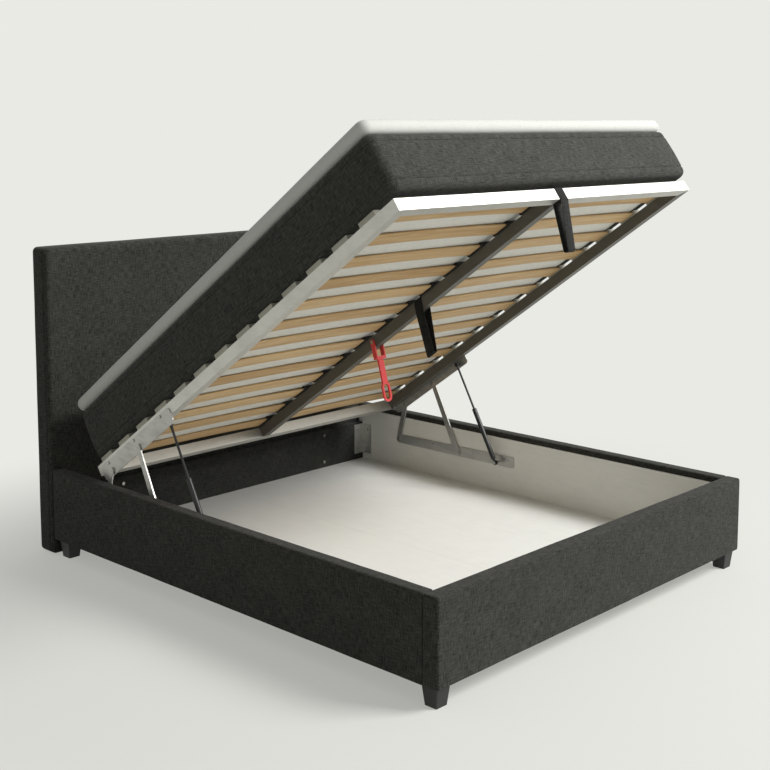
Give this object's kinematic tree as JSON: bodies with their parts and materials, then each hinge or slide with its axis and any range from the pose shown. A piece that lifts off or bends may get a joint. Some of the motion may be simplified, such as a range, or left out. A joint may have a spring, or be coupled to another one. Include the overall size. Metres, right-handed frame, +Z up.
{
  "type": "storage box bed with lifting slatted deck",
  "caption": "Upholstered double storage bed with headboard, lift-up slatted deck on gas struts and arm linkages, mattress and topper, shown open.",
  "frame": {"origin": "on the floor, below the middle of the whole length and width", "axes": "+X to the right seen from the foot, +Y towards the headboard, +Z up"},
  "size_m": [1.926, 2.32, 1.8736],
  "materials": {
    "upholstery": "matte",
    "frame_board": "raw",
    "liner_panel": "matte white",
    "floor_panel": "matte white",
    "rear_cloth": "matte",
    "leg_black": "black lacquer",
    "bracket_metal": "satin dark grey",
    "lift_metal": "satin grey",
    "tube_metal": "satin silver",
    "fixing_steel": "zinc plated",
    "strut_black": "satin black",
    "rod_chrome": "polished",
    "joint_plastic": "matte black",
    "slat_wood": "satin",
    "side_holder_plastic": "matte grey beige",
    "centre_holder_plastic": "matte dark grey",
    "mattress_cloth": "matte",
    "topper_cloth": "matte",
    "webbing": "woven",
    "handle_red": "gloss"
  },
  "bodies": {
    "root": {"arm_base_pins": "fixing_steel", "base_plate_screws": "fixing_steel", "bracket_screws": "fixing_steel", "centre_legs": "leg_black", "corner_brackets": "bracket_metal", "corner_legs": "leg_black", "floor_battens": "frame_board", "foot_board": "frame_board", "foot_cover": "upholstery", "foot_liner": "liner_panel", "headboard_board": "frame_board", "headboard_bolts": "fixing_steel", "headboard_cover": "upholstery", "left_base_plate": "lift_metal", "left_liner": "liner_panel", "left_rail_board": "frame_board", "left_rail_cover": "upholstery", "rear_panel": "rear_cloth", "right_base_plate": "lift_metal", "right_liner": "liner_panel", "right_rail_board": "frame_board", "right_rail_cover": "upholstery", "storage_floor": "floor_panel", "strut_base_pins": "fixing_steel"},
    "front_link_left": {"left_front_arm": "lift_metal", "left_front_arm_stub": "fixing_steel"},
    "rear_link_left": {"left_rear_arm": "lift_metal"},
    "cylinder_left": {"left_strut_cylinder": "strut_black", "left_strut_gland": "joint_plastic"},
    "rod_left": {"left_strut_rod": "rod_chrome", "left_strut_rod_end": "joint_plastic"},
    "front_link_right": {"right_front_arm": "lift_metal", "right_front_arm_stub": "fixing_steel"},
    "rear_link_right": {"right_rear_arm": "lift_metal"},
    "cylinder_right": {"right_strut_cylinder": "strut_black", "right_strut_gland": "joint_plastic"},
    "rod_right": {"right_strut_rod": "rod_chrome", "right_strut_rod_end": "joint_plastic"},
    "deck": {"front_deck_tube": "tube_metal", "rear_deck_tube": "tube_metal", "left_deck_tube": "tube_metal", "right_deck_tube": "tube_metal", "centre_beam": "tube_metal", "left_slat_holders": "side_holder_plastic", "right_slat_holders": "side_holder_plastic", "centre_slat_holders": "centre_holder_plastic", "left_slats": "slat_wood", "right_slats": "slat_wood", "left_deck_plate": "lift_metal", "right_deck_plate": "lift_metal", "deck_plate_bolts": "fixing_steel", "deck_pivot_pins": "fixing_steel", "mattress": "mattress_cloth", "topper": "topper_cloth", "front_pull_loop": "webbing", "beam_pull_loop": "webbing", "handle_pin": "fixing_steel"},
    "handle": {"release_handle": "handle_red"}
  },
  "joints": [
    {"name": "left_rear_arm_turn", "type": "hinge", "parent": "root", "child": "rear_link_left", "pos_m": [-0.892, 0.74069, 0.238], "axis": [1, 0, 0], "range_deg": [-93.01, 0]},
    {"name": "left_front_arm_turn", "type": "hinge", "parent": "root", "child": "front_link_left", "pos_m": [-0.892, 0.34296, 0.236], "axis": [1, 0, 0], "range_deg": [-57.4, 0]},
    {"name": "left_strut_turn", "type": "hinge", "parent": "root", "child": "cylinder_left", "pos_m": [-0.867, 0.081, 0.238], "axis": [1, 0, 0], "range_deg": [-56.33, 0]},
    {"name": "left_rod_slide", "type": "slide", "parent": "cylinder_left", "child": "rod_left", "axis": [0, 0.4811, 0.8767], "range_m": [-0.10122, 0]},
    {"name": "right_rear_arm_turn", "type": "hinge", "parent": "root", "child": "rear_link_right", "pos_m": [0.892, 0.74069, 0.238], "axis": [1, 0, 0], "range_deg": [-93.01, 0]},
    {"name": "right_front_arm_turn", "type": "hinge", "parent": "root", "child": "front_link_right", "pos_m": [0.892, 0.34296, 0.236], "axis": [1, 0, 0], "range_deg": [-57.4, 0]},
    {"name": "right_strut_turn", "type": "hinge", "parent": "root", "child": "cylinder_right", "pos_m": [0.867, 0.081, 0.238], "axis": [1, 0, 0], "range_deg": [-56.33, 0]},
    {"name": "right_rod_slide", "type": "slide", "parent": "cylinder_right", "child": "rod_right", "axis": [0, 0.4811, 0.8767], "range_m": [-0.10122, 0]},
    {"name": "deck_turn", "type": "hinge", "parent": "rear_link_left", "child": "deck", "pos_m": [-0.892, 0.69355, 0.4301], "axis": [1, 0, 0], "range_deg": [0, 128.01]},
    {"name": "handle_swing", "type": "hinge", "parent": "deck", "child": "handle", "pos_m": [0, 0.03409, 0.93886], "axis": [1, 0, 0], "range_deg": [0, 34]}
  ],
  "couplings": [
    {"joint": "left_rear_arm_turn", "follows": "deck_turn", "ratio": -0.72658},
    {"joint": "left_front_arm_turn", "follows": "deck_turn", "ratio": -0.44844},
    {"joint": "left_strut_turn", "follows": "deck_turn", "ratio": -0.44003},
    {"joint": "left_rod_slide", "follows": "deck_turn", "m_per_rad": -0.045308},
    {"joint": "right_rear_arm_turn", "follows": "deck_turn", "ratio": -0.72658},
    {"joint": "right_front_arm_turn", "follows": "deck_turn", "ratio": -0.44844},
    {"joint": "right_strut_turn", "follows": "deck_turn", "ratio": -0.44003},
    {"joint": "right_rod_slide", "follows": "deck_turn", "m_per_rad": -0.045308},
    {"joint": "handle_swing", "follows": "deck_turn", "ratio": 0.26561}
  ]
}
